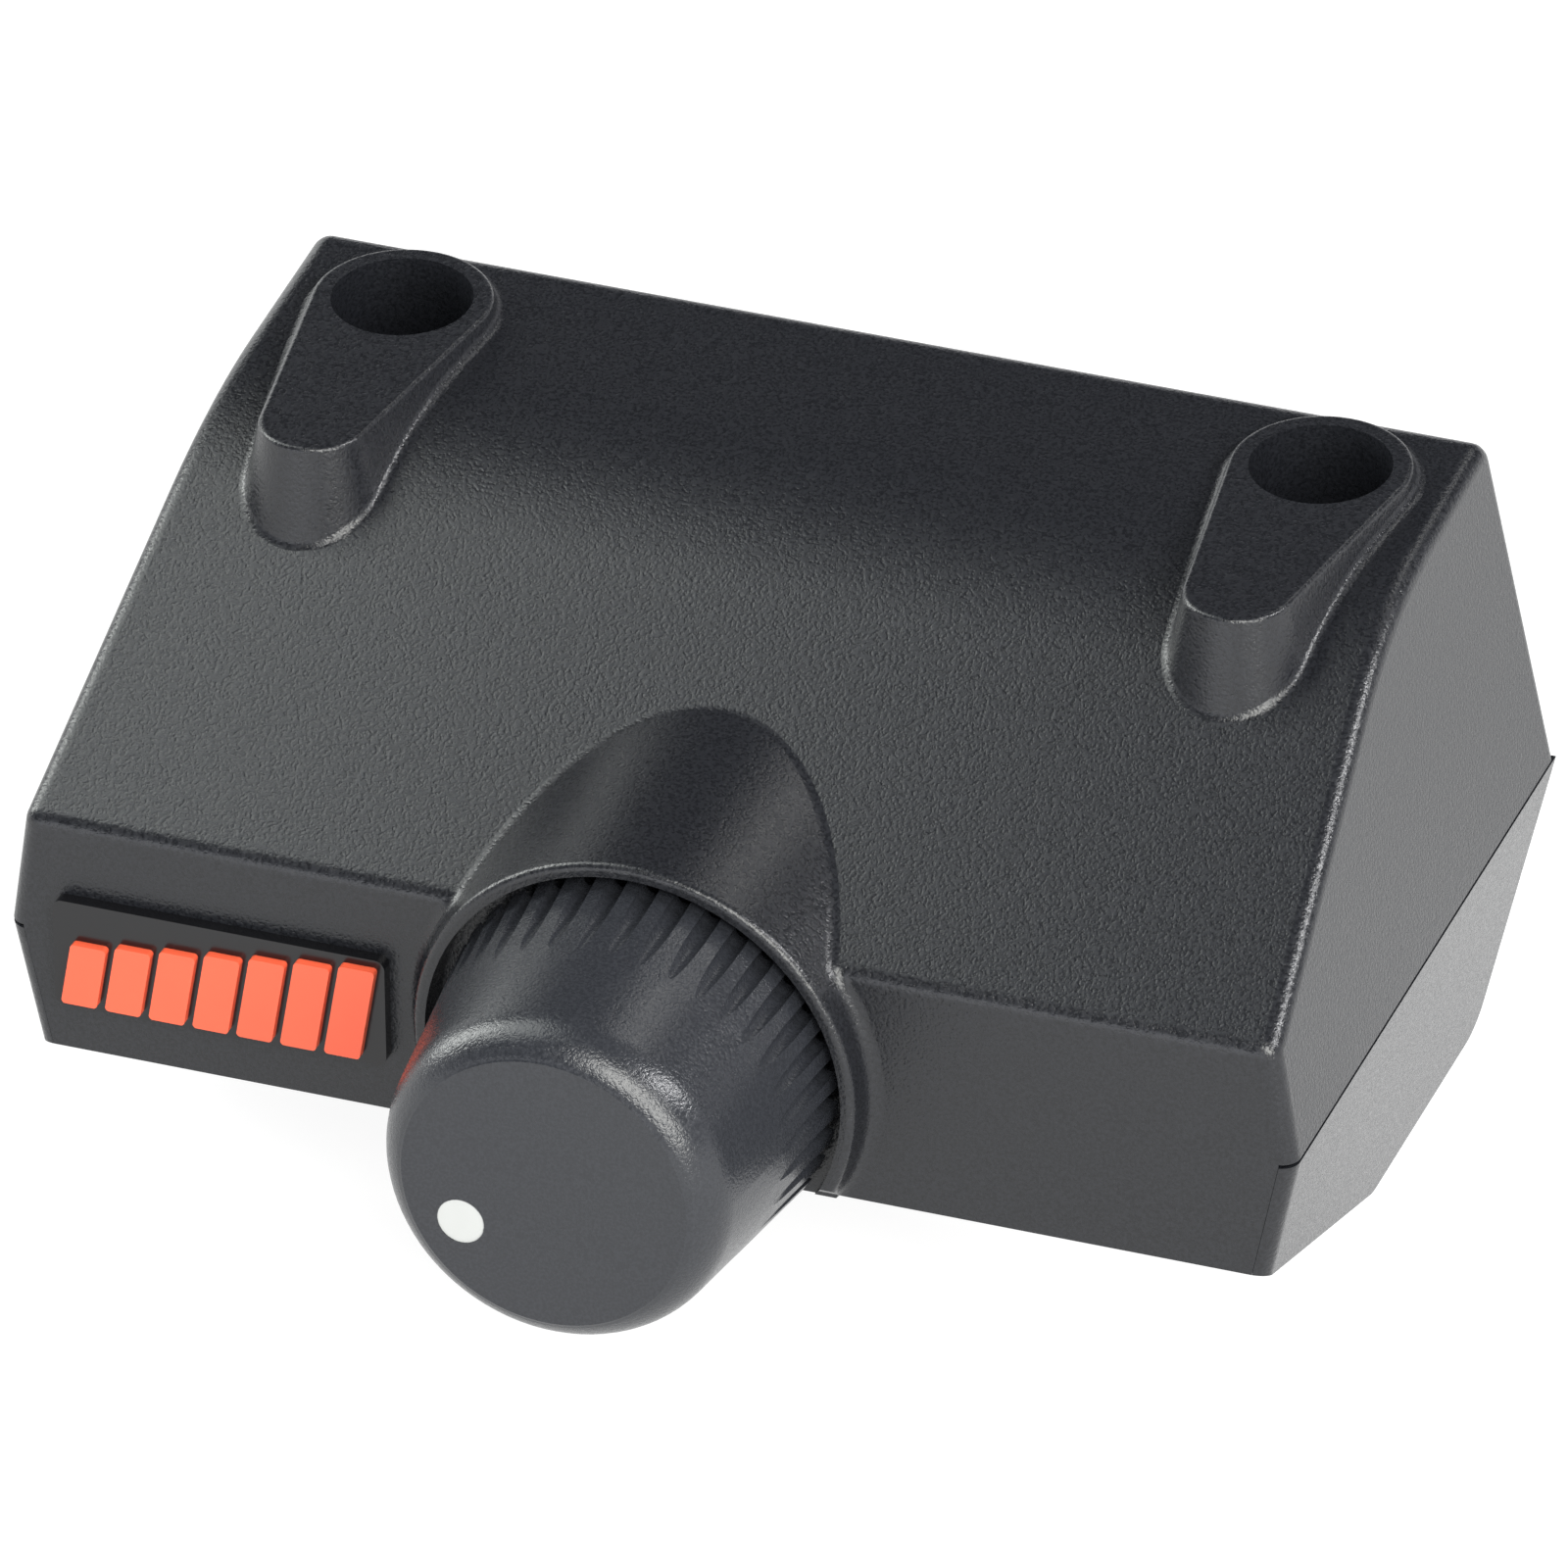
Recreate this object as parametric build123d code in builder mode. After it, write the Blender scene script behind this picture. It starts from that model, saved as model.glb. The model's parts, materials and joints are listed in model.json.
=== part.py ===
from build123d import *
import math
import os

os.makedirs("parts", exist_ok=True)

# Dash-mount rotary control unit. Millimetres. X runs across, Y from the knob to the back,
# and Z up from the flat base. The origin lies midway between the two screw holes, on the base.

# ---------------------------------------------------------------- driving dimensions
# Closed body, seen from the side (Y, Z) and from the front (X, Z).
body_width = 66.0
parting_z = 14.6
front_y = -30.3
back_y = 7.5
front_top_z = 20.9
front_bottom_z = 8.2
roof_knee_y = -8.8
roof_knee_z = 32.6
roof_back_y = 5.9
roof_back_z = 33.4
base_front_y = -10.9
base_back_y = 4.1
upper_side_draft = 0.145
lower_side_draft = 0.214
front_top_radius = 1.0
roof_radius = 24.0
roof_back_radius = 1.2
base_back_radius = 1.8
base_front_radius = 2.5
side_edge_radius = 0.9

wall = 1.8
front_wall = 2.0
seam_gap = 0.2
tongue_height = 1.4
tongue_thickness = 0.8
side_lip = 0.8
fit_gap = 0.1
panel_gap = 0.02
cut_margin = 1.0

# Knob axis: it leans up a little, and the front face is square to it.
axis_z = 14.33
axis_tilt = 2.0

# Screw wells and their pads.
hole_spacing = 47.5
well_radius = 3.5
well_tube_radius = 4.4
well_seat_z = 13.0
post_top_z = 10.5
screw_hole_radius = 1.9
pad_top_z = 34.06
pad_back_radius = 4.45
pad_front_radius = 2.7
pad_front_reach = 11.6
pad_draft = 11.5
pad_depth = 7.0
pad_foot_radius = 0.5
pad_rim_radius = 0.25

# Collar round the knob, as radii and distances in front of the front face.
collar_rim_radius = 11.3
collar_root_radius = 13.2
collar_reach = 1.86
collar_root_depth = 12.5
collar_edge_radius = 0.4
collar_blend_radius = 0.8
collar_lift = 0.8
recess_radius = 10.65
recess_floor = -0.3

# Knob.
knob_rear = 0.5
knob_rear_radius = 10.05
knob_shoulder = 11.3
knob_shoulder_radius = 8.8
knob_face = 13.56
knob_face_radius = 7.27
flute_count = 38
flute_radius = 0.45
flute_circle_radius = 9.82
flute_length = 7.0
knob_cavity_radius = 8.0
knob_cavity_top = 9.6
hub_radius = 4.6
hub_rear = 3.8
hub_bore_top = 10.7
dot_radius = 1.2
dot_circle_radius = 4.94
dot_angle = 210.0
dot_pocket = 0.4
dot_sink = 0.06
clip_thickness = 0.4
clip_width = 3.4
clip_length = 5.0
clip_set_back = 0.2

# Potentiometer, along the knob axis.
shaft_radius = 3.0
running_gap = 0.05
shaft_front = 10.4
shaft_flat = 1.5
shaft_flat_rear = 3.6
spigot_radius = 1.5
bushing_radius = 3.5
bushing_front = 2.6
bushing_plate = 0.8
bushing_hole_radius = 3.6
nut_across_flats = 10.0
nut_thickness = 1.6
washer_thickness = 0.4
washer_radius = 5.6
washer_tooth_count = 12
washer_tooth_length = 1.4
washer_tooth_width = 1.2
case_width = 10.4
case_height = 10.0
case_depth = 6.2
case_bore_radius = 4.4
case_corner_radius = 0.6
bushing_tip_chamfer = 0.3
ring_front = -3.1
ring_thickness = 0.4
ring_groove_radius = 2.5
ring_radius = 3.9
ring_mouth = 4.0
rotor_radius = 4.0
rotor_front = -4.8
rotor_thickness = 1.4
wiper_thickness = 0.3
wiper_radius = 3.7
wiper_width = 0.8
track_gap = 0.15
track_thickness = 0.2
track_radius = 3.8
track_width = 1.2
track_sweep = 300.0
wafer_thickness = 0.9
wafer_radius = 4.3
terminal_count = 3
terminal_pitch = 2.5
terminal_width = 0.8
terminal_thickness = 0.5
terminal_run_z = 11.2
terminal_y = -18.0
terminal_hole_radius = 0.6
terminal_tail = 0.5

# Circuit board and what stands on it.
board_width = 35.0
board_corner_radius = 1.0
board_front_y = -19.8
board_back_y = 3.4
board_z = 6.2
board_thickness = 1.6
board_screw_x = 13.0
board_screw_y = 0.0
board_boss_radius = 2.6
screw_head_height = 1.8
board_head_radius = 2.4
board_screw_radius = 1.3
board_pilot_radius = 1.05
board_screw_length = 7.0
jack_width = 13.2
jack_height = 11.6
jack_front_y = -9.5
jack_back_y = 5.7
jack_depth = 11.0
plug_width = 9.8
plug_height = 6.9
plug_sill = 2.6
latch_width = 6.3
latch_sill = 0.9
window_gap = 0.2
contact_count = 4
contact_pitch = 1.02
contact_width = 0.5
contact_thickness = 0.4
contact_foot_inset = 1.0
contact_bend_inset = 1.6
contact_bend_drop = 1.2
contact_tip_inset = 8.5
contact_tip_drop = 2.3
chip_length = 5.0
chip_width = 4.0
chip_height = 1.5
chip_stand = 0.15
chip_place = (-10.0, -12.5)
chip_chamfer = 0.2
legs_per_side = 4
leg_pitch = 1.27
leg_width = 0.45
leg_reach = 1.1
leg_thickness = 0.2
can_radius = 2.4
can_height = 5.0
can_base_size = 5.2
can_base_height = 0.8
can_base_chamfer = 0.6
can_rim_radius = 0.4
can_places = [(9.5, -15.5), (9.5, -9.0)]
resistor_length = 2.0
resistor_width = 1.25
resistor_height = 0.5
resistor_pitch_x = 3.6
resistor_pitch_y = 2.4
resistor_columns = 2
resistor_rows = 3
resistor_place = (-11.5, -6.5)

# Housing screws, driven up from the base.
case_screw_x = 24.0
case_screw_y = -7.6
case_post_radius = 3.2
case_post_z = 6.0
case_boss_radius = 2.7
case_recess_radius = 2.7
case_recess_depth = 2.6
case_head_radius = 2.5
case_screw_radius = 1.35
case_screw_hole_radius = 1.6
case_pilot_radius = 1.1
case_screw_length = 12.0
cross_width = 0.7
cross_length = 3.0
cross_depth = 1.0

# Plain raised mark on the front face, left of the knob.
mark_centre_x = -21.75
mark_centre_y = -0.35
mark_width = 17.2
mark_height = 5.9
mark_corner_radius = 0.5
mark_plate_thickness = 0.7
mark_bar_thickness = 0.45
mark_bar_count = 7
mark_bar_pitch = 2.3
mark_bar_width = 1.85
mark_bar_low = 3.4
mark_bar_high = 5.1
mark_bar_lean = 0.9
mark_bar_corner_radius = 0.2

board_top_z = board_z + board_thickness
case_front = -front_wall - bushing_plate
rotor_rear = rotor_front - rotor_thickness
track_face = rotor_rear - wiper_thickness - track_gap
wafer_front = track_face - track_thickness

# ---------------------------------------------------------------- frames
lean = math.radians(axis_tilt)
knob_plane = Plane(
    origin=(0, front_y, axis_z),
    x_dir=(1, 0, 0),
    z_dir=(0, -math.cos(lean), math.sin(lean)),
)
knob_axis = Axis(knob_plane.origin, knob_plane.z_dir)
turning_plane = Plane(
    origin=knob_plane.origin,
    x_dir=knob_plane.x_dir,
    z_dir=-knob_plane.y_dir,
)


def front_face_y(height):
    """Y of the leaning front face at a given height."""
    return front_y + (height - axis_z) * math.tan(lean)


def along_axis(distance):
    """Plane square to the knob axis, a given distance in front of the front face."""
    return knob_plane.offset(distance)


# ---------------------------------------------------------------- shared body forms
def body_block(inset, low_z, high_z):
    """The closed body's form, moved in by inset, kept between two heights."""
    half_width = body_width / 2
    upper_narrowing = upper_side_draft * (roof_back_z - parting_z)
    lower_narrowing = lower_side_draft * parting_z
    with BuildPart() as block:
        with BuildSketch(Plane.YZ):
            with BuildLine():
                FilletPolyline(
                    (front_face_y(front_bottom_z), front_bottom_z),
                    (front_face_y(front_top_z), front_top_z),
                    (roof_knee_y, roof_knee_z),
                    (roof_back_y, roof_back_z),
                    (back_y, parting_z),
                    (base_back_y, 0),
                    (base_front_y, 0),
                    radius=[0, front_top_radius, roof_radius, roof_back_radius, 0,
                            base_back_radius, base_front_radius],
                    close=True,
                )
            make_face()
            if inset > 0:
                offset(amount=-inset, kind=Kind.INTERSECTION)
        extrude(amount=body_width, both=True)
        with BuildSketch(Plane.XZ):
            with BuildLine():
                Polyline(
                    (half_width - lower_narrowing, 0),
                    (half_width, parting_z),
                    (half_width - upper_narrowing, roof_back_z),
                    (upper_narrowing - half_width, roof_back_z),
                    (-half_width, parting_z),
                    (lower_narrowing - half_width, 0),
                    close=True,
                )
            make_face()
            if inset > 0:
                offset(amount=-inset, kind=Kind.INTERSECTION)
        extrude(amount=body_width, both=True, mode=Mode.INTERSECT)
        with BuildSketch(Plane.XY.offset(low_z)):
            Rectangle(2 * body_width, 2 * body_width)
        extrude(amount=high_z - low_z, mode=Mode.INTERSECT)
    return block.part


def collar_cone(inset, rear, front):
    """Solid cone of the knob's collar between two distances along the knob axis."""
    flare = (collar_root_radius - collar_rim_radius) / (collar_reach + collar_root_depth)
    with BuildPart() as cone:
        with BuildSketch(turning_plane):
            with BuildLine():
                Polyline(
                    (0, rear),
                    (collar_rim_radius + flare * (collar_reach - rear) - inset, rear),
                    (collar_rim_radius + flare * (collar_reach - front) - inset, front),
                    (0, front),
                    close=True,
                )
            make_face()
        revolve(axis=knob_axis)
    return cone.part


def front_slab(ahead, behind, half_width, low_z, high_z):
    """Slab along the leaning front face, whose underside is the chin carried forward."""
    chin_slope = front_bottom_z / (base_front_y - front_face_y(front_bottom_z))
    drop_ahead = (ahead + front_face_y(0) - front_face_y(front_bottom_z)) * chin_slope
    with BuildPart() as slab:
        with BuildSketch(Plane.YZ):
            with BuildLine():
                Polyline(
                    (front_face_y(high_z) - ahead, high_z),
                    (front_face_y(high_z) + behind, high_z),
                    (front_face_y(low_z) + behind, low_z),
                    (front_face_y(low_z) - ahead, low_z),
                    close=True,
                )
            make_face()
            with BuildLine():
                Polyline(
                    (front_face_y(0) - ahead, front_bottom_z + drop_ahead),
                    (base_front_y, 0),
                    (front_face_y(0) - ahead, 0),
                    close=True,
                )
            make_face(mode=Mode.SUBTRACT)
        extrude(amount=half_width, both=True)
    return slab.part


def taper_across(side_gap, low_z, high_z):
    """Everything between the two lower side walls, moved in by side_gap."""
    half_top = body_width / 2 - side_gap
    half_low = half_top - lower_side_draft * (parting_z - low_z)
    with BuildPart() as between:
        with BuildSketch(Plane.XZ):
            with BuildLine():
                Polyline(
                    (half_low, low_z),
                    (half_top, parting_z),
                    (half_top, high_z),
                    (-half_top, high_z),
                    (-half_top, parting_z),
                    (-half_low, low_z),
                    close=True,
                )
            make_face()
        extrude(amount=body_width, both=True)
    return between.part


def cylinder_between(radius, low_z, high_z, points):
    """Upright cylinders of one radius between two heights."""
    with BuildPart() as posts:
        with BuildSketch(Plane.XY.offset(low_z)):
            with Locations(*points):
                Circle(radius)
        extrude(amount=high_z - low_z)
    return posts.part


def turned(*outline):
    """Solid of revolution about the knob axis, from (radius, distance in front) points."""
    with BuildPart() as solid:
        with BuildSketch(turning_plane):
            with BuildLine():
                Polyline(*outline, close=True)
            make_face()
        revolve(axis=knob_axis)
    return solid.part


def screw_set(points, seat_z, head_radius, shank_radius, length):
    """Round-headed cross screws that point up, with the heads below seat_z."""
    head_low_z = seat_z - screw_head_height
    with BuildPart() as screws:
        with BuildSketch(Plane.XY.offset(head_low_z)):
            with Locations(*points):
                Circle(head_radius)
        extrude(amount=screw_head_height)
        fillet(screws.faces().group_by(Axis.Z)[0].edges(), screw_head_height / 2)
        with BuildSketch(Plane.XY.offset(seat_z)):
            with Locations(*points):
                Circle(shank_radius)
        extrude(amount=length)
        chamfer(screws.faces().group_by(Axis.Z)[-1].edges(), shank_radius / 2)
        with BuildSketch(Plane.XY.offset(head_low_z)):
            with Locations(*points):
                Rectangle(cross_length, cross_width)
                Rectangle(cross_width, cross_length)
        extrude(amount=cross_depth, mode=Mode.SUBTRACT)
    return screws.part


seam_top = parting_z + seam_gap / 2
seam_bottom = parting_z - seam_gap / 2
mount_points = [(-hole_spacing / 2, 0), (hole_spacing / 2, 0)]
board_screw_points = [(-board_screw_x, board_screw_y), (board_screw_x, board_screw_y)]
case_screw_points = [(-case_screw_x, case_screw_y), (case_screw_x, case_screw_y)]
outer_body = body_block(0, 0, roof_back_z)
inner_body = body_block(wall, wall, roof_back_z - wall)

# Hollow of the closed housing, which stops at the back of the front wall.
with BuildPart() as hollow:
    add(inner_body)
    add(front_slab(wall, front_wall, body_width, 0, roof_back_z), mode=Mode.SUBTRACT)

# Window in the back walls for the jack.
with BuildPart() as jack_window:
    with BuildSketch(Plane.XZ.offset(-board_back_y)):
        with Locations((0, board_top_z + jack_height / 2)):
            Rectangle(jack_width + 2 * window_gap, jack_height + 2 * window_gap)
    extrude(amount=-wall * 4)

# Step in the seam, on the sides and the back, into which the lower tongue reaches.
with BuildPart() as seam_rebate:
    add(body_block(wall - tongue_thickness - fit_gap, seam_top, seam_top + tongue_height + fit_gap))
    add(front_slab(wall, front_wall + wall, body_width, 0, roof_back_z), mode=Mode.SUBTRACT)

# ---------------------------------------------------------------- outer form
with BuildSketch() as pad_outline:
    Circle(pad_back_radius)
    with Locations((0, -pad_front_reach)):
        Circle(pad_front_radius)
    make_hull()

with BuildPart() as screw_pads:
    with BuildSketch(Plane.XY.offset(pad_top_z)):
        with Locations(*mount_points):
            add(pad_outline.sketch)
    extrude(amount=-pad_depth, taper=-pad_draft)

with BuildPart() as collar:
    add(collar_cone(0, -collar_root_depth, collar_reach))
    add(front_slab(2 * collar_reach, body_width, body_width, 0, roof_back_z), mode=Mode.INTERSECT)

# The housing's outside as one form, before it is parted and hollowed.
with BuildPart() as outer_form:
    add(outer_body)
    add(collar.part)
    collar_feet = outer_form.edges().filter_by(
        lambda edge: edge.geom_type != GeomType.LINE
        and abs(edge.center().X) < collar_root_radius
        and -collar_reach / 2 < edge.center().Y - front_y
        and edge.center().Z > front_bottom_z + cut_margin
    )
    fillet(collar_feet, collar_blend_radius)
    collar_rim = outer_form.edges().filter_by(GeomType.CIRCLE).sort_by(Axis.Y)[0]
    fillet(collar_rim, collar_edge_radius)
    # The collar's lower ends rise forward from the chin's edge, so they don't hang below it.
    with BuildSketch(Plane.YZ):
        with BuildLine():
            chin_edge_y = front_face_y(front_bottom_z)
            Polyline(
                (chin_edge_y, front_bottom_z),
                (chin_edge_y - 2 * collar_reach, front_bottom_z + 2 * collar_reach * collar_lift),
                (chin_edge_y - 2 * collar_reach, 0),
                (chin_edge_y, 0),
                close=True,
            )
        make_face()
    extrude(amount=collar_root_radius, both=True, mode=Mode.SUBTRACT)
    add(screw_pads.part)
    pad_edges = outer_form.edges().filter_by(
        lambda edge: abs(abs(edge.center().X) - hole_spacing / 2) < pad_back_radius + pad_foot_radius
        and edge.center().Z > pad_top_z - pad_depth
        and not (edge.geom_type == GeomType.LINE and edge.bounding_box().size.Y < fit_gap)
    )
    pad_feet = pad_edges.filter_by(
        lambda edge: max(corner.Z for corner in edge.vertices()) < pad_top_z - fit_gap
    )
    fillet(pad_feet, pad_foot_radius)
    pad_rims = outer_form.edges().group_by(Axis.Z)[-1]
    fillet(pad_rims, pad_rim_radius)

# ---------------------------------------------------------------- upper housing
# Roof, upper walls, and the whole front wall, which hangs down behind the lower side lips.
with BuildPart() as front_panel_zone:
    add(front_slab(2 * collar_reach, front_wall, body_width, 0, seam_top))
    add(taper_across(side_lip + panel_gap, 0, seam_top), mode=Mode.INTERSECT)

with BuildPart() as below_seam:
    with BuildSketch():
        Rectangle(3 * body_width, 3 * body_width)
    extrude(amount=seam_top)
    add(front_panel_zone.part, mode=Mode.SUBTRACT)

with BuildPart() as inner_columns:
    add(cylinder_between(well_tube_radius, post_top_z, roof_back_z, mount_points))
    add(cylinder_between(board_boss_radius, board_top_z, roof_back_z, board_screw_points))
    add(cylinder_between(case_boss_radius, case_post_z, roof_back_z, case_screw_points))
    add(outer_body, mode=Mode.INTERSECT)

with BuildPart() as upper_housing:
    add(outer_form.part)
    add(below_seam.part, mode=Mode.SUBTRACT)
    side_edges = upper_housing.edges().filter_by(
        lambda edge: abs(edge.center().X) > hole_spacing / 2 + pad_back_radius + pad_foot_radius
        and edge.center().Z > seam_top + fit_gap
    )
    fillet(side_edges, side_edge_radius)
    add(hollow.part, mode=Mode.SUBTRACT)
    add(collar_cone(wall, wall - collar_root_depth, -front_wall), mode=Mode.SUBTRACT)
    add(seam_rebate.part, mode=Mode.SUBTRACT)
    add(inner_columns.part)
    add(jack_window.part, mode=Mode.SUBTRACT)
    add(cylinder_between(well_radius, well_seat_z, pad_top_z, mount_points), mode=Mode.SUBTRACT)
    add(cylinder_between(screw_hole_radius, post_top_z, well_seat_z, mount_points), mode=Mode.SUBTRACT)
    board_pilot_top = board_top_z + board_screw_length
    add(
        cylinder_between(board_pilot_radius, board_top_z, board_pilot_top, board_screw_points),
        mode=Mode.SUBTRACT,
    )
    case_pilot_top = case_recess_depth + case_screw_length + cut_margin
    add(
        cylinder_between(case_pilot_radius, case_post_z, case_pilot_top, case_screw_points),
        mode=Mode.SUBTRACT,
    )
    with BuildSketch(along_axis(recess_floor)):
        Circle(recess_radius)
    extrude(amount=2 * collar_reach, mode=Mode.SUBTRACT)
    with BuildSketch(along_axis(-2 * front_wall)):
        Circle(bushing_hole_radius)
    extrude(amount=3 * front_wall, mode=Mode.SUBTRACT)

# ---------------------------------------------------------------- lower housing
with BuildPart() as front_panel_room:
    add(front_slab(2 * collar_reach, front_wall + fit_gap, body_width, 0, seam_top))
    add(taper_across(side_lip, 0, seam_top), mode=Mode.INTERSECT)

with BuildPart() as tongue:
    add(body_block(wall - tongue_thickness, seam_bottom - wall, seam_top + tongue_height))
    add(front_slab(wall, front_wall + wall + fit_gap, body_width, 0, roof_back_z), mode=Mode.SUBTRACT)
    add(inner_body, mode=Mode.SUBTRACT)

with BuildPart() as base_posts:
    add(cylinder_between(well_tube_radius, 0, post_top_z, mount_points))
    add(cylinder_between(case_post_radius, 0, case_post_z, case_screw_points))
    add(outer_body, mode=Mode.INTERSECT)

with BuildPart() as lower_housing:
    add(body_block(0, 0, seam_bottom))
    lower_corners = lower_housing.edges().filter_by(
        lambda edge: abs(edge.center().X) > body_width / 2 - wall
        and edge.center().Y < front_y + wall
        and edge.bounding_box().size.Z > front_bottom_z / 2
    )
    fillet(lower_corners, side_edge_radius)
    add(front_panel_room.part, mode=Mode.SUBTRACT)
    add(hollow.part, mode=Mode.SUBTRACT)
    add(tongue.part)
    add(base_posts.part)
    add(jack_window.part, mode=Mode.SUBTRACT)
    add(cylinder_between(screw_hole_radius, 0, post_top_z, mount_points), mode=Mode.SUBTRACT)
    add(
        cylinder_between(case_screw_hole_radius, 0, case_post_z, case_screw_points),
        mode=Mode.SUBTRACT,
    )
    add(
        cylinder_between(case_recess_radius, 0, case_recess_depth, case_screw_points),
        mode=Mode.SUBTRACT,
    )

upper_housing.part.label = "upper_housing"
export_step(upper_housing.part, "parts/upper_housing.step")
lower_housing.part.label = "lower_housing"
export_step(lower_housing.part, "parts/lower_housing.step")

# ---------------------------------------------------------------- raised mark
with BuildPart() as mark_plate:
    with BuildSketch(knob_plane):
        with Locations((mark_centre_x, mark_centre_y)):
            RectangleRounded(mark_width, mark_height, mark_corner_radius)
    extrude(amount=mark_plate_thickness)
mark_plate.part.label = "mark_plate"
export_step(mark_plate.part, "parts/mark_plate.step")

# Leaning bars that rise in height from left to right, like a level scale.
with BuildPart() as mark_bars:
    with BuildSketch(along_axis(mark_plate_thickness)) as bar_row:
        bar_step = (mark_bar_high - mark_bar_low) / (mark_bar_count - 1)
        first_bar_x = mark_centre_x - mark_bar_pitch * (mark_bar_count - 1) / 2
        bar_foot_y = mark_centre_y - mark_bar_high / 2
        for bar in range(mark_bar_count):
            bar_height = mark_bar_low + bar * bar_step
            bar_shift = mark_bar_lean * bar_height / mark_bar_high / 2
            bar_x = first_bar_x + bar * mark_bar_pitch
            half_bar = mark_bar_width / 2
            with BuildLine():
                Polyline(
                    (bar_x - half_bar - bar_shift, bar_foot_y),
                    (bar_x + half_bar - bar_shift, bar_foot_y),
                    (bar_x + half_bar + bar_shift, bar_foot_y + bar_height),
                    (bar_x - half_bar + bar_shift, bar_foot_y + bar_height),
                    close=True,
                )
            make_face()
        fillet(bar_row.vertices(), mark_bar_corner_radius)
    extrude(amount=mark_bar_thickness)
mark_bars.part.label = "mark_bars"
export_step(mark_bars.part, "parts/mark_bars.step")

# ---------------------------------------------------------------- knob
with BuildPart() as knob:
    with BuildSketch(turning_plane):
        with BuildLine():
            skirt = Polyline(
                (0, knob_rear),
                (knob_rear_radius, knob_rear),
                (knob_shoulder_radius, knob_shoulder),
            )
            TangentArc(skirt @ 1, (knob_face_radius, knob_face), tangent=skirt % 1)
            Polyline((knob_face_radius, knob_face), (0, knob_face), (0, knob_rear))
        make_face()
    revolve(axis=knob_axis)
    cavity_mouth = knob_rear - cut_margin
    add(
        turned(
            (0, cavity_mouth),
            (knob_cavity_radius, cavity_mouth),
            (knob_cavity_radius, knob_cavity_top),
            (hub_radius, knob_cavity_top),
            (hub_radius, hub_rear),
            (0, hub_rear),
        ),
        mode=Mode.SUBTRACT,
    )
    with BuildSketch(along_axis(hub_rear)):
        Circle(shaft_radius + running_gap)
        with Locations((0, shaft_flat + clip_thickness + 2 * running_gap + shaft_radius)):
            Rectangle(4 * shaft_radius, 2 * shaft_radius, mode=Mode.SUBTRACT)
    extrude(amount=hub_bore_top - hub_rear, mode=Mode.SUBTRACT)
    with BuildSketch(along_axis(knob_rear - cut_margin)):
        with PolarLocations(flute_circle_radius, flute_count):
            Circle(flute_radius)
    extrude(amount=flute_length + cut_margin, mode=Mode.SUBTRACT)
    with BuildSketch(along_axis(knob_face - dot_pocket)):
        with PolarLocations(dot_circle_radius, 1, start_angle=dot_angle):
            Circle(dot_radius)
    extrude(amount=dot_pocket + cut_margin, mode=Mode.SUBTRACT)
knob.part.label = "knob"
export_step(knob.part, "parts/knob.step")

with BuildPart() as knob_dot:
    with BuildSketch(along_axis(knob_face - dot_pocket)):
        with PolarLocations(dot_circle_radius, 1, start_angle=dot_angle):
            Circle(dot_radius)
    extrude(amount=dot_pocket - dot_sink)
knob_dot.part.label = "knob_dot"
export_step(knob_dot.part, "parts/knob_dot.step")

# Flat spring between the shaft's flat and the hub.
with BuildPart() as knob_clip:
    with BuildSketch(along_axis(shaft_flat_rear + clip_set_back)):
        with Locations((0, shaft_flat + running_gap + clip_thickness / 2)):
            Rectangle(clip_width, clip_thickness)
    extrude(amount=clip_length)
knob_clip.part.label = "knob_clip"
export_step(knob_clip.part, "parts/knob_clip.step")

# ---------------------------------------------------------------- potentiometer
with BuildPart() as pot_shaft:
    add(
        turned(
            (0, rotor_rear),
            (spigot_radius, rotor_rear),
            (spigot_radius, rotor_front),
            (shaft_radius, rotor_front),
            (shaft_radius, ring_front - ring_thickness),
            (ring_groove_radius, ring_front - ring_thickness),
            (ring_groove_radius, ring_front),
            (shaft_radius, ring_front),
            (shaft_radius, shaft_front),
            (0, shaft_front),
        )
    )
    with BuildSketch(along_axis(shaft_flat_rear)):
        with Locations((0, shaft_flat + shaft_radius)):
            Rectangle(4 * shaft_radius, 2 * shaft_radius)
    extrude(amount=shaft_front, mode=Mode.SUBTRACT)
pot_shaft.part.label = "pot_shaft"
export_step(pot_shaft.part, "parts/pot_shaft.step")

# Open ring snapped into the shaft's groove.
with BuildPart() as shaft_ring:
    with BuildSketch(along_axis(ring_front - ring_thickness)):
        Circle(ring_radius)
        Circle(ring_groove_radius, mode=Mode.SUBTRACT)
        with Locations((0, ring_radius)):
            Rectangle(ring_mouth, 2 * ring_radius, mode=Mode.SUBTRACT)
    extrude(amount=ring_thickness)
shaft_ring.part.label = "shaft_ring"
export_step(shaft_ring.part, "parts/shaft_ring.step")

with BuildPart() as pot_rotor:
    add(
        turned(
            (spigot_radius, rotor_rear),
            (rotor_radius, rotor_rear),
            (rotor_radius, rotor_front),
            (spigot_radius, rotor_front),
        )
    )
pot_rotor.part.label = "pot_rotor"
export_step(pot_rotor.part, "parts/pot_rotor.step")

# Bow-shaped contact on the back of the rotor.
with BuildPart() as pot_wiper:
    with BuildSketch(along_axis(rotor_rear - wiper_thickness)):
        Circle(wiper_radius)
        Circle(wiper_radius - wiper_width, mode=Mode.SUBTRACT)
        Rectangle(2 * wiper_radius, wiper_width)
    extrude(amount=wiper_thickness)
pot_wiper.part.label = "pot_wiper"
export_step(pot_wiper.part, "parts/pot_wiper.step")

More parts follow.
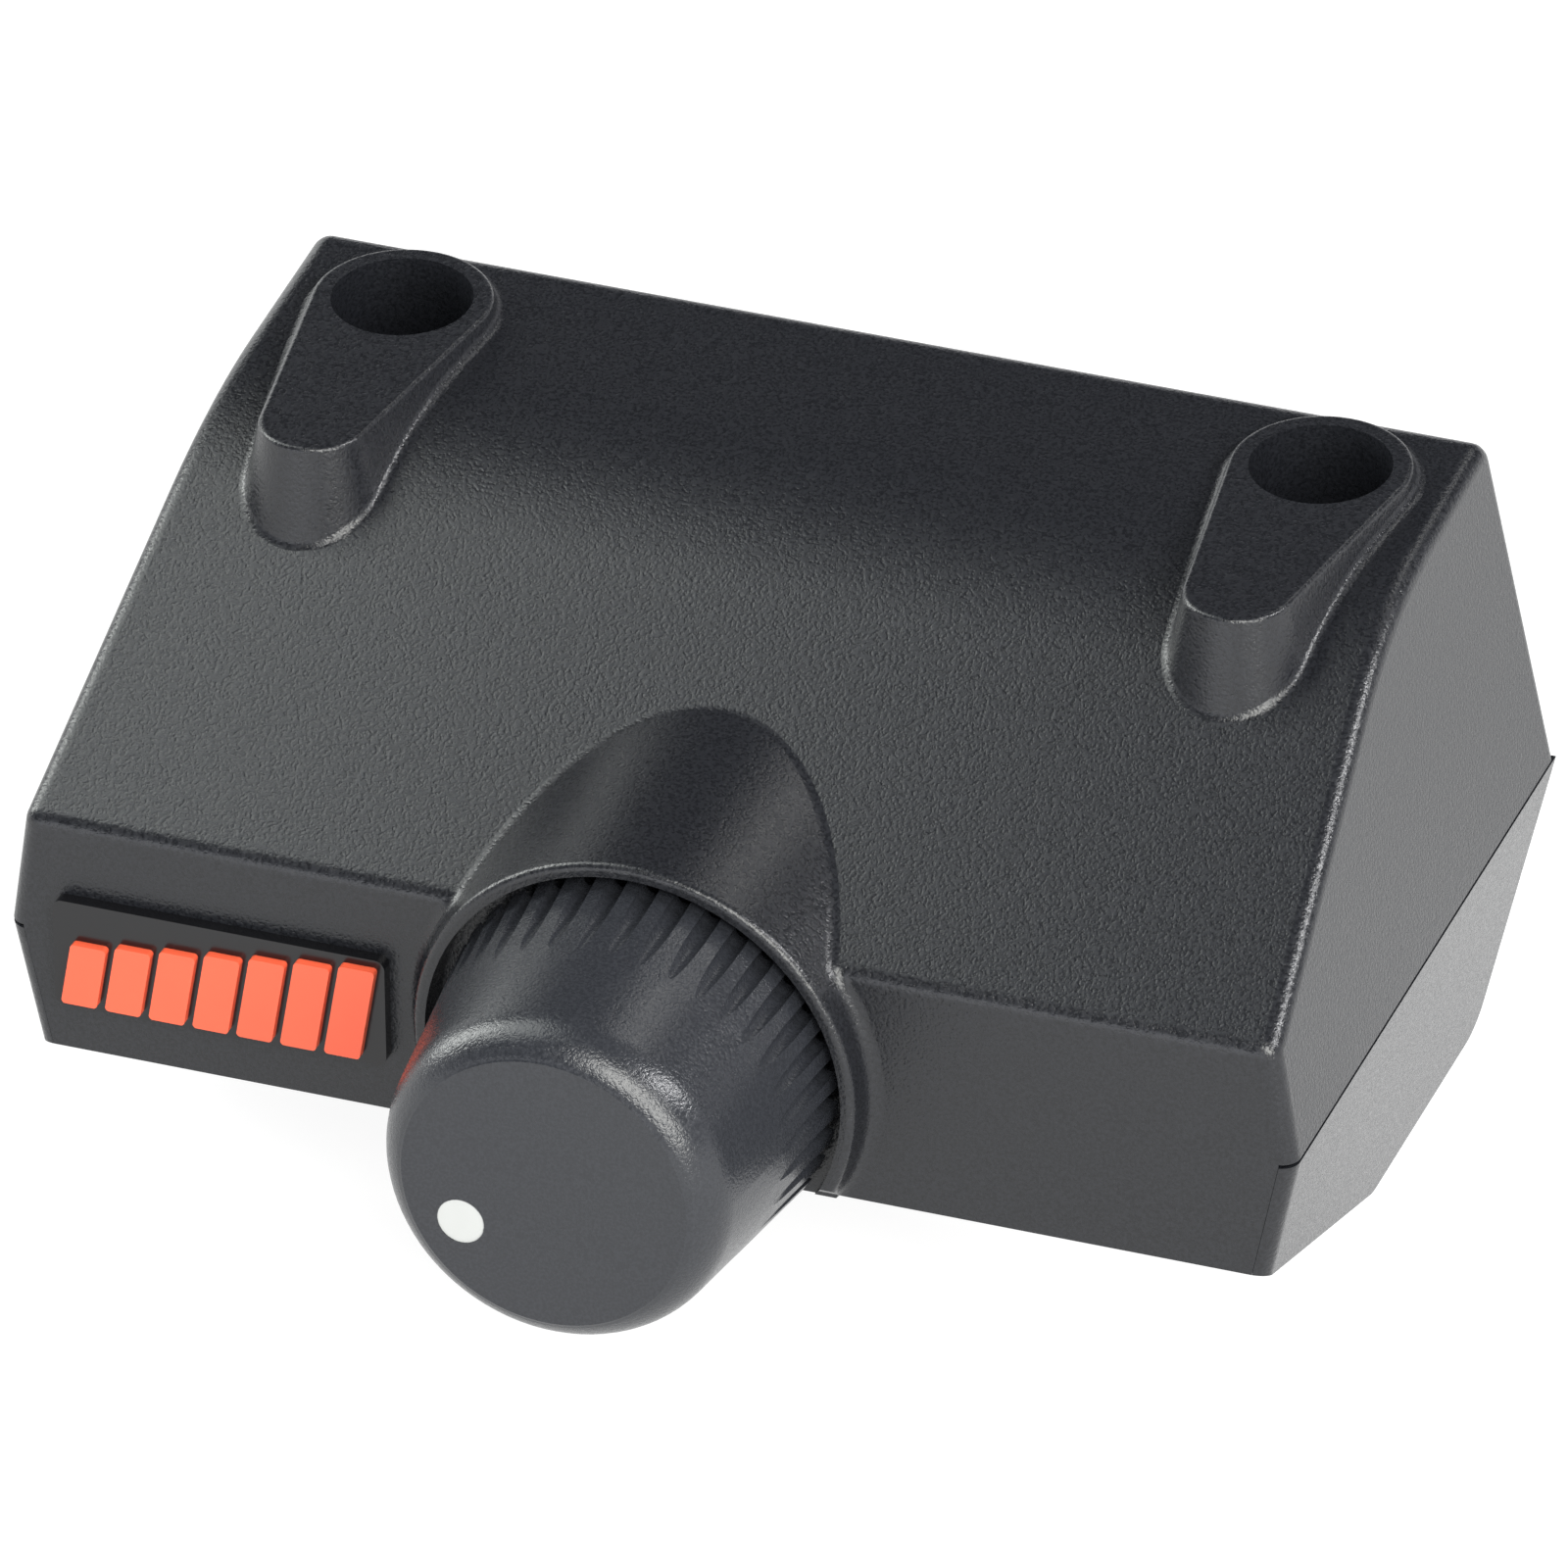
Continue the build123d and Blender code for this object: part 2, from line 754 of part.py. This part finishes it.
with BuildPart() as pot_bushing:
    with BuildSketch(along_axis(case_front)):
        RectangleRounded(case_width, case_height, case_corner_radius)
    extrude(amount=bushing_plate)
    with BuildSketch(along_axis(-front_wall)):
        Circle(bushing_radius)
    extrude(amount=front_wall + bushing_front)
    bushing_tip = pot_bushing.edges().filter_by(GeomType.CIRCLE).sort_by(Axis.Y)[0]
    chamfer(bushing_tip, bushing_tip_chamfer)
    with BuildSketch(along_axis(case_front)):
        Circle(shaft_radius + running_gap)
    extrude(amount=2 * case_depth, mode=Mode.SUBTRACT)
pot_bushing.part.label = "pot_bushing"
export_step(pot_bushing.part, "parts/pot_bushing.step")

with BuildPart() as pot_washer:
    with BuildSketch(along_axis(recess_floor)):
        Circle(washer_radius - washer_tooth_length / 2)
        with PolarLocations(washer_radius - washer_tooth_length / 2, washer_tooth_count):
            Rectangle(washer_tooth_length, washer_tooth_width)
        Circle(bushing_radius + running_gap, mode=Mode.SUBTRACT)
    extrude(amount=washer_thickness)
pot_washer.part.label = "pot_washer"
export_step(pot_washer.part, "parts/pot_washer.step")

with BuildPart() as pot_nut:
    with BuildSketch(along_axis(recess_floor + washer_thickness)):
        RegularPolygon(nut_across_flats / 2, 6, major_radius=False)
        Circle(bushing_radius + running_gap, mode=Mode.SUBTRACT)
    extrude(amount=nut_thickness)
pot_nut.part.label = "pot_nut"
export_step(pot_nut.part, "parts/pot_nut.step")

with BuildPart() as pot_case:
    with BuildSketch(along_axis(case_front - case_depth)):
        RectangleRounded(case_width, case_height, case_corner_radius)
    extrude(amount=case_depth)
    with BuildSketch(along_axis(wafer_front - wafer_thickness)):
        Circle(case_bore_radius)
    extrude(amount=case_depth, mode=Mode.SUBTRACT)
pot_case.part.label = "pot_case"
export_step(pot_case.part, "parts/pot_case.step")

with BuildPart() as pot_wafer:
    with BuildSketch(along_axis(wafer_front - wafer_thickness)):
        Circle(wafer_radius)
    extrude(amount=wafer_thickness)
pot_wafer.part.label = "pot_wafer"
export_step(pot_wafer.part, "parts/pot_wafer.step")

# Horseshoe of resistive ink, open at the bottom where the terminals are.
with BuildPart() as pot_track:
    with BuildSketch(along_axis(wafer_front)):
        Circle(track_radius)
        Circle(track_radius - track_width, mode=Mode.SUBTRACT)
        with BuildLine():
            gap_half = math.radians(360 - track_sweep) / 2
            gap_x = 2 * track_radius * math.sin(gap_half)
            gap_y = -2 * track_radius * math.cos(gap_half)
            Polyline((0, 0), (-gap_x, gap_y), (gap_x, gap_y), close=True)
        make_face(mode=Mode.SUBTRACT)
    extrude(amount=track_thickness)
pot_track.part.label = "pot_track"
export_step(pot_track.part, "parts/pot_track.step")

# Three strips that leave the back of the case and turn down into the board.
terminal_start_y = front_y - wafer_front + wafer_thickness / 2
terminal_end_z = board_z - terminal_tail
with BuildPart() as terminal_strip:
    with BuildSketch(Plane.YZ):
        with BuildLine():
            Polyline(
                (terminal_start_y, terminal_run_z),
                (terminal_y - terminal_thickness / 2, terminal_run_z),
                (terminal_y - terminal_thickness / 2, terminal_end_z),
                (terminal_y + terminal_thickness / 2, terminal_end_z),
                (terminal_y + terminal_thickness / 2, terminal_run_z + terminal_thickness),
                (terminal_start_y, terminal_run_z + terminal_thickness),
                close=True,
            )
        make_face()
    extrude(amount=terminal_width / 2, both=True)

with BuildPart() as pot_terminals:
    with GridLocations(terminal_pitch, terminal_pitch, terminal_count, 1):
        add(terminal_strip.part)
pot_terminals.part.label = "pot_terminals"
export_step(pot_terminals.part, "parts/pot_terminals.step")

# ---------------------------------------------------------------- circuit board
with BuildPart() as circuit_board:
    with BuildSketch(Plane.XY.offset(board_z)):
        with Locations((0, (board_front_y + board_back_y) / 2)):
            RectangleRounded(board_width, board_back_y - board_front_y, board_corner_radius)
        with Locations(*board_screw_points):
            Circle(board_screw_radius + 2 * fit_gap, mode=Mode.SUBTRACT)
        with Locations((0, terminal_y)):
            with GridLocations(terminal_pitch, terminal_pitch, terminal_count, 1):
                Circle(terminal_hole_radius, mode=Mode.SUBTRACT)
    extrude(amount=board_thickness)
circuit_board.part.label = "circuit_board"
export_step(circuit_board.part, "parts/circuit_board.step")

# Jack for a small modular plug, with the latch groove on the board side.
plug_low_z = board_top_z + plug_sill
plug_top_z = plug_low_z + plug_height
with BuildPart() as jack_body:
    with BuildSketch(Plane.XY.offset(board_top_z)):
        with Locations((0, (jack_front_y + jack_back_y) / 2)):
            Rectangle(jack_width, jack_back_y - jack_front_y)
    extrude(amount=jack_height)
    with BuildSketch(Plane.XZ.offset(-jack_back_y)):
        with Locations((0, plug_low_z + plug_height / 2)):
            Rectangle(plug_width, plug_height)
        with Locations((0, board_top_z + latch_sill + plug_sill / 2)):
            Rectangle(latch_width, plug_sill)
    extrude(amount=jack_depth, mode=Mode.SUBTRACT)
jack_body.part.label = "jack_body"
export_step(jack_body.part, "parts/jack_body.step")

# Sprung wires: up the back of the jack, forward along its top, and back down into the mouth.
wire_top_z = plug_top_z + contact_thickness
wire_foot_y = jack_front_y + contact_foot_inset
wire_bend_y = jack_back_y - contact_bend_inset
wire_tip_y = jack_back_y - contact_tip_inset
with BuildPart() as contact_wire:
    with BuildSketch(Plane.YZ):
        with BuildLine():
            FilletPolyline(
                (wire_foot_y, board_top_z),
                (wire_foot_y, wire_top_z),
                (wire_bend_y, wire_top_z),
                (wire_bend_y, wire_top_z - contact_bend_drop),
                (wire_tip_y, plug_top_z - contact_tip_drop),
                radius=contact_thickness,
            )
        trace(line_width=contact_thickness)
    extrude(amount=contact_width / 2, both=True)

with BuildPart() as jack_contacts:
    with GridLocations(contact_pitch, contact_pitch, contact_count, 1):
        add(contact_wire.part)
jack_contacts.part.label = "jack_contacts"
export_step(jack_contacts.part, "parts/jack_contacts.step")

# Eight-legged chip: the body stands a little above the board on bent legs.
chip_x, chip_y = chip_place
chip_low_z = board_top_z + chip_stand
leg_top_z = chip_low_z + chip_height / 2
leg_root_x = chip_width / 2
leg_knee_x = leg_root_x + leg_reach / 2
leg_toe_x = leg_root_x + leg_reach
foot_top_z = board_top_z + leg_thickness
with BuildPart() as chip_leg:
    with BuildSketch(Plane.XZ):
        with BuildLine():
            Polyline(
                (leg_root_x, leg_top_z),
                (leg_knee_x, leg_top_z),
                (leg_knee_x, foot_top_z),
                (leg_toe_x, foot_top_z),
                (leg_toe_x, board_top_z),
                (leg_knee_x - leg_thickness, board_top_z),
                (leg_knee_x - leg_thickness, leg_top_z - leg_thickness),
                (leg_root_x, leg_top_z - leg_thickness),
                close=True,
            )
        make_face()
    extrude(amount=leg_width / 2, both=True)

with BuildPart() as control_chip:
    with BuildSketch(Plane.XY.offset(chip_low_z)):
        with Locations((chip_x, chip_y)):
            Rectangle(chip_width, chip_length)
    extrude(amount=chip_height)
    chamfer(control_chip.faces().sort_by(Axis.Z)[-1].edges(), chip_chamfer)
    for side_turn in (0, 180):
        with Locations(Location((chip_x, chip_y, 0), (0, 0, side_turn))):
            with GridLocations(leg_pitch, leg_pitch, 1, legs_per_side):
                add(chip_leg.part)
control_chip.part.label = "control_chip"
export_step(control_chip.part, "parts/control_chip.step")

with BuildPart() as capacitor_bases:
    with BuildSketch(Plane.XY.offset(board_top_z)):
        with Locations(*can_places):
            Rectangle(can_base_size, can_base_size)
    extrude(amount=can_base_height)
    chamfer(capacitor_bases.edges().filter_by(Axis.Z), can_base_chamfer)
capacitor_bases.part.label = "capacitor_bases"
export_step(capacitor_bases.part, "parts/capacitor_bases.step")

with BuildPart() as capacitor_cans:
    with BuildSketch(Plane.XY.offset(board_top_z + can_base_height)):
        with Locations(*can_places):
            Circle(can_radius)
    extrude(amount=can_height)
    fillet(capacitor_cans.faces().group_by(Axis.Z)[-1].edges(), can_rim_radius)
capacitor_cans.part.label = "capacitor_cans"
export_step(capacitor_cans.part, "parts/capacitor_cans.step")

with BuildPart() as chip_resistors:
    with BuildSketch(Plane.XY.offset(board_top_z)):
        with Locations(resistor_place):
            with GridLocations(
                resistor_pitch_x, resistor_pitch_y, resistor_columns, resistor_rows
            ):
                Rectangle(resistor_length, resistor_width)
    extrude(amount=resistor_height)
chip_resistors.part.label = "chip_resistors"
export_step(chip_resistors.part, "parts/chip_resistors.step")

# ---------------------------------------------------------------- screws
board_screws = screw_set(
    board_screw_points, board_z, board_head_radius, board_screw_radius, board_screw_length
)
board_screws.label = "board_screws"
export_step(board_screws, "parts/board_screws.step")

case_screws = screw_set(
    case_screw_points, case_recess_depth, case_head_radius, case_screw_radius, case_screw_length
)
case_screws.label = "case_screws"
export_step(case_screws, "parts/case_screws.step")
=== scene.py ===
import json
import math

import bpy
from mathutils import Matrix, Vector

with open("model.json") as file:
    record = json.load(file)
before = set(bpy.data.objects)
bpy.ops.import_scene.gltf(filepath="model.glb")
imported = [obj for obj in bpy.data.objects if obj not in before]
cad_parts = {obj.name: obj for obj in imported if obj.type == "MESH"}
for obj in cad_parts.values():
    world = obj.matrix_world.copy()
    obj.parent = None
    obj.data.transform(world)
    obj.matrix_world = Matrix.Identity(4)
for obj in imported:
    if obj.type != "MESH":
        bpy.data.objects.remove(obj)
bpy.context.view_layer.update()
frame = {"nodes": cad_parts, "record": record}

nodes = frame["nodes"]
MM = 0.001

# ---------------------------------------------------------------- camera
AIM = Vector((0.0, -12.34, 14.6)) * MM
AZIMUTH = math.radians(21.65)
ELEVATION = math.radians(33.483)
ROLL = math.radians(1.697)
DISTANCE = 1187.75 * MM
SIDE_OFFSET = 0.27 * MM
RISE = 3.13 * MM
LENS = 562.85
SENSOR_WIDTH = 36.0
CLIP_NEAR = 0.05
CLIP_FAR = 20.0


def add_camera():
    """Long-lens camera at the viewing angle, rolled a little."""
    back = Vector((
        math.sin(AZIMUTH) * math.cos(ELEVATION),
        -math.cos(AZIMUTH) * math.cos(ELEVATION),
        math.sin(ELEVATION),
    ))
    level_right = Vector((math.cos(AZIMUTH), math.sin(AZIMUTH), 0.0))
    level_up = back.cross(level_right)
    right = level_right * math.cos(ROLL) - level_up * math.sin(ROLL)
    up = level_right * math.sin(ROLL) + level_up * math.cos(ROLL)
    data = bpy.data.cameras.new("camera")
    data.lens = LENS
    data.sensor_width = SENSOR_WIDTH
    data.clip_start = CLIP_NEAR
    data.clip_end = CLIP_FAR
    camera = bpy.data.objects.new("camera", data)
    bpy.context.scene.collection.objects.link(camera)
    turn = Matrix((right, up, back)).transposed().to_4x4()
    place = AIM + back * DISTANCE + right * SIDE_OFFSET + up * RISE
    camera.matrix_world = Matrix.Translation(place) @ turn
    bpy.context.scene.camera = camera


# ---------------------------------------------------------------- light and floor
LIGHT_AIM = Vector((0.0, -0.012, 0.015))

# The world is pale up to the first height on the unit sphere, and dim from the second.
HORIZON_TOP = 0.06
HORIZON_COLOR = (0.95, 0.96, 1.0, 1)
DOME_START = 0.34
DOME_COLOR = (0.035, 0.035, 0.04, 1)
WORLD_STRENGTH = 0.95

FLOOR_HALF = 1.6
FLOOR_COLOR = (0.18, 0.18, 0.18, 1)
FLOOR_ROUGHNESS = 0.9
# Where the floor glows: centre, inner and outer distance, strength inside and outside.
# The glow is painted light: it washes out the part's shadow on the floor, and the second zone is a
# glowing patch beside the part that its lower side reflects.
GLOW_ZONES = [
    ((0.0, -0.01, 0.0), 0.07, 0.14, 0.92, 1.2),
    ((0.030, 0.006, 0.0), 0.012, 0.034, 0.24, 0.0),
]


def add_lamp(name, width, height, power, color):
    """Rectangular area light, not yet placed."""
    data = bpy.data.lights.new(name, "AREA")
    data.shape = "RECTANGLE"
    data.size = width
    data.size_y = height
    data.energy = power
    data.color = color
    lamp = bpy.data.objects.new(name, data)
    bpy.context.scene.collection.objects.link(lamp)
    return lamp


def add_area(name, place, width, height, power, color):
    """Area light that points at the part."""
    lamp = add_lamp(name, width, height, power, color)
    lamp.location = place
    lamp.rotation_euler = (LIGHT_AIM - Vector(place)).to_track_quat("-Z", "Y").to_euler()


def add_strip(name, start, end, width, power, color):
    """Long area light between two points, with its face towards the part."""
    start, end = Vector(start), Vector(end)
    along = (end - start).normalized()
    middle = (start + end) / 2
    back = middle - LIGHT_AIM
    back = (back - along * back.dot(along)).normalized()
    lamp = add_lamp(name, (end - start).length, width, power, color)
    turn = Matrix((along, back.cross(along), back)).transposed().to_4x4()
    lamp.matrix_world = Matrix.Translation(middle) @ turn


def add_world():
    """Pale horizon under a dim dome."""
    world = bpy.data.worlds.new("studio")
    bpy.context.scene.world = world
    world.use_nodes = True
    tree = world.node_tree
    tree.nodes.clear()
    coords = tree.nodes.new("ShaderNodeTexCoord")
    split = tree.nodes.new("ShaderNodeSeparateXYZ")
    ramp = tree.nodes.new("ShaderNodeValToRGB")
    shade = tree.nodes.new("ShaderNodeBackground")
    out = tree.nodes.new("ShaderNodeOutputWorld")
    tree.links.new(coords.outputs["Generated"], split.inputs[0])
    tree.links.new(split.outputs["Z"], ramp.inputs[0])
    low, high = ramp.color_ramp.elements
    low.position = HORIZON_TOP
    low.color = HORIZON_COLOR
    high.position = DOME_START
    high.color = DOME_COLOR
    tree.links.new(ramp.outputs[0], shade.inputs["Color"])
    shade.inputs["Strength"].default_value = WORLD_STRENGTH
    tree.links.new(shade.outputs[0], out.inputs[0])


def glow_strength(tree, place, zone):
    """Strength of one glow zone at a place on the floor."""
    centre, reach_in, reach_out, inside, outside = zone
    reach = tree.nodes.new("ShaderNodeVectorMath")
    reach.operation = "DISTANCE"
    reach.inputs[1].default_value = centre
    tree.links.new(place, reach.inputs[0])
    glow = tree.nodes.new("ShaderNodeMapRange")
    glow.inputs["From Min"].default_value = reach_in
    glow.inputs["From Max"].default_value = reach_out
    glow.inputs["To Min"].default_value = inside
    glow.inputs["To Max"].default_value = outside
    tree.links.new(reach.outputs["Value"], glow.inputs["Value"])
    return glow.outputs["Result"]


def add_floor():
    """Pale floor with a painted glow, so that it stays bright close to the part where the part's
    shadow falls.
    """
    half = FLOOR_HALF
    mesh = bpy.data.meshes.new("floor")
    mesh.from_pydata(
        [(-half, -half, 0), (half, -half, 0), (half, half, 0), (-half, half, 0)], [], [(0, 1, 2, 3)]
    )
    floor = bpy.data.objects.new("floor", mesh)
    bpy.context.scene.collection.objects.link(floor)
    paint = bpy.data.materials.new("floor_paint")
    paint.use_nodes = True
    tree = paint.node_tree
    shader = tree.nodes["Principled BSDF"]
    shader.inputs["Base Color"].default_value = FLOOR_COLOR
    shader.inputs["Roughness"].default_value = FLOOR_ROUGHNESS
    shader.inputs["Specular IOR Level"].default_value = 0.0
    shader.inputs["Emission Color"].default_value = (1, 1, 1, 1)
    place = tree.nodes.new("ShaderNodeTexCoord").outputs["Object"]
    both = tree.nodes.new("ShaderNodeMath")
    both.operation = "ADD"
    for socket, zone in zip(both.inputs, GLOW_ZONES):
        tree.links.new(glow_strength(tree, place, zone), socket)
    tree.links.new(both.outputs[0], shader.inputs["Emission Strength"])
    mesh.materials.append(paint)


# ---------------------------------------------------------------- materials
# Noise values mostly lie between these two.
NOISE_LOW = 0.3
NOISE_HIGH = 0.7

# Mould texture: the finer grit's scale and height beside those of the pits.
GRIT_SCALE = 2.3
GRIT_HEIGHT = 0.35

# Depth behind the knob's face over which the mould texture fades out.
FACE_EDGE = 0.15 * MM

# Plain moulded surfaces: scales of the tint, gloss and relief, and the relief's depth.
TINT_SCALE = 400.0
GLOSS_SCALE = 900.0
SKIN_SCALE = 2500.0
SKIN_DEPTH = 2e-6

# Drawn or turned metal.
MARK_SCALE = 900.0
MARK_DEPTH = 4e-6

# Circuit board.
CLOTH_SCALE = 2500.0
CLOTH_SHARE = 0.15
MASK_SCALE = 1200.0
MASK_GLOSS_SCALE = 500.0
MASK_DEPTH = 3e-6


class Shade:
    """A procedural material with the usual nodes at hand."""

    def __init__(self, name, color, roughness, metallic=0.0):
        self.material = bpy.data.materials.new(name)
        self.material.use_nodes = True
        self.tree = self.material.node_tree
        self.shader = self.tree.nodes["Principled BSDF"]
        self.shader.inputs["Metallic"].default_value = metallic
        self.color = color
        self.roughness = roughness
        self.place = self.tree.nodes.new("ShaderNodeTexCoord").outputs["Object"]

    def node(self, kind, **values):
        made = self.tree.nodes.new(kind)
        for key, value in values.items():
            if key in made.inputs:
                made.inputs[key].default_value = value
            else:
                setattr(made, key, value)
        return made

    def link(self, source, target):
        self.tree.links.new(source, target)

    def noise(self, scale, detail=2.0, rough=0.5, stretch=None):
        grain = self.node("ShaderNodeTexNoise", Scale=scale, Detail=detail, Roughness=rough)
        place = self.place
        if stretch:
            move = self.node("ShaderNodeMapping")
            move.inputs["Scale"].default_value = stretch
            self.link(place, move.inputs["Vector"])
            place = move.outputs[0]
        self.link(place, grain.inputs["Vector"])
        return grain.outputs["Fac"]

    def ramp(self, value, low, high, start, end):
        """Maps value from start..end to low..high, held at both ends."""
        mapped = self.node("ShaderNodeMapRange")
        mapped.clamp = True
        mapped.inputs["From Min"].default_value = start
        mapped.inputs["From Max"].default_value = end
        mapped.inputs["To Min"].default_value = low
        mapped.inputs["To Max"].default_value = high
        self.link(value, mapped.inputs["Value"])
        return mapped.outputs["Result"]

    def math(self, kind, first, second):
        made = self.node("ShaderNodeMath", operation=kind)
        for socket, value in zip(made.inputs, (first, second)):
            if isinstance(value, (int, float)):
                socket.default_value = value
            else:
                self.link(value, socket)
        return made.outputs[0]

    def paint(self, value, spread):
        """Base colour that varies by plus and minus spread with value."""
        mix = self.node("ShaderNodeMix", data_type="RGBA")
        dark, light = [socket for socket in mix.inputs if socket.type == "RGBA"]
        dark.default_value = [c * (1 - spread) for c in self.color] + [1]
        light.default_value = [c * (1 + spread) for c in self.color] + [1]
        self.link(value, mix.inputs[0])
        mixed = [socket for socket in mix.outputs if socket.type == "RGBA"][0]
        self.link(mixed, self.shader.inputs["Base Color"])

    def gloss(self, value, spread):
        """Roughness that varies by plus and minus spread with value."""
        low, high = self.roughness - spread, self.roughness + spread
        varied = self.ramp(value, low, high, NOISE_LOW, NOISE_HIGH)
        self.link(varied, self.shader.inputs["Roughness"])

    def relief(self, height, depth):
        """Bump from height, where depth is the relief's real height in metres."""
        bump = self.node("ShaderNodeBump", Strength=1.0, Distance=depth)
        self.link(height, bump.inputs["Height"])
        self.link(bump.outputs[0], self.shader.inputs["Normal"])


def knob_face_mask(shade):
    """0 on the knob's flat face, 1 behind it."""
    joint = frame["record"]["behaviour"]["joints"][0]
    forward = -Vector(joint["axis"])
    face = max(vertex.co.dot(forward) for vertex in nodes["knob"].data.vertices)
    along = shade.node("ShaderNodeVectorMath", operation="DOT_PRODUCT")
    shade.link(shade.place, along.inputs[0])
    along.inputs[1].default_value = forward
    return shade.ramp(along.outputs["Value"], 1.0, 0.0, face - FACE_EDGE, face - FACE_EDGE / 3)


def textured_plastic(name, color, roughness, scale, depth, tone=0.3, gloss=0.06, mask=None):
    """Eroded mould texture: fine even pits with finer grit in them."""
    shade = Shade(name, color, roughness)
    pits = shade.noise(scale, 1.0)
    grit = shade.noise(scale * GRIT_SCALE, 0.0)
    height = shade.math("ADD", pits, shade.math("MULTIPLY", grit, GRIT_HEIGHT))
    if mask:
        height = shade.math("MULTIPLY", height, mask(shade))
    shade.relief(height, depth)
    shade.paint(shade.ramp(pits, 0, 1, NOISE_LOW, NOISE_HIGH), tone)
    shade.gloss(pits, gloss)
    return shade.material


def smooth_plastic(name, color, roughness, tone=0.06, gloss=0.05):
    """Polished moulding or glaze with a faint unevenness."""
    shade = Shade(name, color, roughness)
    shade.paint(shade.noise(TINT_SCALE, 3.0), tone)
    shade.gloss(shade.noise(GLOSS_SCALE, 3.0), gloss)
    shade.relief(shade.noise(SKIN_SCALE), SKIN_DEPTH)
    return shade.material


def metal(name, color, roughness, stretch, tone=0.08, gloss=0.08):
    """Metal with fine marks drawn out along one axis."""
    shade = Shade(name, color, roughness, metallic=1.0)
    marks = shade.noise(MARK_SCALE, 4.0, 0.6, stretch)
    shade.paint(marks, tone)
    shade.gloss(marks, gloss)
    shade.relief(marks, MARK_DEPTH)
    return shade.material


def laminate(name, color, roughness, tone=0.12, gloss=0.06):
    """Solder mask over glass cloth."""
    shade = Shade(name, color, roughness)
    cloth = shade.node("ShaderNodeTexChecker", Scale=CLOTH_SCALE)
    shade.link(shade.place, cloth.inputs["Vector"])
    weave = shade.math("MULTIPLY", cloth.outputs["Fac"], CLOTH_SHARE)
    surface = shade.math("ADD", shade.noise(MASK_SCALE), weave)
    shade.paint(surface, tone)
    shade.gloss(shade.noise(MASK_GLOSS_SCALE, 3.0), gloss)
    shade.relief(surface, MASK_DEPTH)
    return shade.material


materials = {
    "housing_plastic": textured_plastic(
        "housing_charcoal", (0.0098, 0.0105, 0.0130), 0.29, scale=5800.0, depth=2.7e-5
    ),
    "knob_plastic": textured_plastic(
        "knob_charcoal", (0.0205, 0.0220, 0.0265), 0.27, scale=6200.0, depth=2.3e-5, tone=0.15,
        mask=knob_face_mask
    ),
    "mark_black": smooth_plastic("mark_gloss_black", (0.006, 0.006, 0.007), 0.22),
    "mark_orange": smooth_plastic("mark_orange_face", (0.78, 0.105, 0.045), 0.42),
    "dot_white": smooth_plastic("dot_paint", (0.47, 0.48, 0.47), 0.5),
    "spring_steel": metal("spring_steel_drawn", (0.42, 0.42, 0.44), 0.35, (1, 12, 1)),
    "shaft_metal": metal("shaft_turned", (0.62, 0.63, 0.65), 0.32, (8, 1, 8)),
    "rotor_plastic": smooth_plastic("rotor_natural", (0.75, 0.73, 0.68), 0.45),
    "contact_brass": metal("brass_stamped", (0.72, 0.53, 0.22), 0.3, (1, 1, 10)),
    "plated_metal": metal("bright_plated", (0.6, 0.6, 0.62), 0.28, (8, 1, 8)),
    "pot_plastic": smooth_plastic("pot_moulded", (0.03, 0.03, 0.034), 0.5),
    "wafer_board": smooth_plastic("wafer_phenolic", (0.3, 0.16, 0.07), 0.55, 0.12),
    "resistive_ink": smooth_plastic("carbon_ink", (0.015, 0.015, 0.016), 0.6, 0.15),
    "tinned_metal": metal("tinned", (0.66, 0.66, 0.67), 0.3, (10, 1, 1)),
    "board_laminate": laminate("green_laminate", (0.015, 0.13, 0.045), 0.35),
    "screw_steel": metal("screw_zinc", (0.5, 0.51, 0.52), 0.36, (6, 6, 1)),
    "jack_plastic": smooth_plastic("jack_black", (0.016, 0.016, 0.018), 0.34),
    "contact_gold": metal("gold_flashed", (0.85, 0.6, 0.2), 0.24, (1, 10, 1)),
    "chip_plastic": smooth_plastic("chip_epoxy", (0.025, 0.025, 0.027), 0.58),
    "can_metal": metal("drawn_can", (0.75, 0.75, 0.76), 0.26, (1, 1, 8)),
    "resistor_ceramic": smooth_plastic("resistor_glaze", (0.05, 0.05, 0.055), 0.3),
}
for part in frame["record"]["subparts"]:
    mesh = nodes[part["node"]].data
    for index in range(len(mesh.materials)):
        mesh.materials[index] = materials[part["material_slot"]]

add_camera()
add_world()
add_floor()
add_area("overhead", (-0.165, -0.025, 0.26), 0.16, 0.16, 0.31, (0.96, 1.0, 0.97))
add_area("back_right", (0.12, 0.26, 0.34), 0.13, 0.13, 0.155, (1.0, 1.0, 0.98))
add_area("back_left", (-0.31, 0.28, 0.15), 0.18, 0.18, 0.17, (0.97, 1.0, 0.98))
add_area("left", (-0.42, 0.03, 0.22), 0.16, 0.26, 1.3, (0.97, 1.0, 0.97))
add_area("front_low", (-0.12, -0.60, 0.10), 0.50, 0.22, 0.65, (0.93, 0.95, 1.0))
add_strip("front_strip", (0.39, -0.285, 0.11), (0.04, -0.305, 0.40), 0.17, 2.9, (1.0, 1.0, 0.96))
add_strip("right_strip", (0.34, -0.12, 0.40), (0.42, 0.18, 0.28), 0.035, 1.8, (0.99, 0.99, 1.0))
bpy.context.scene.view_settings.view_transform = "Standard"
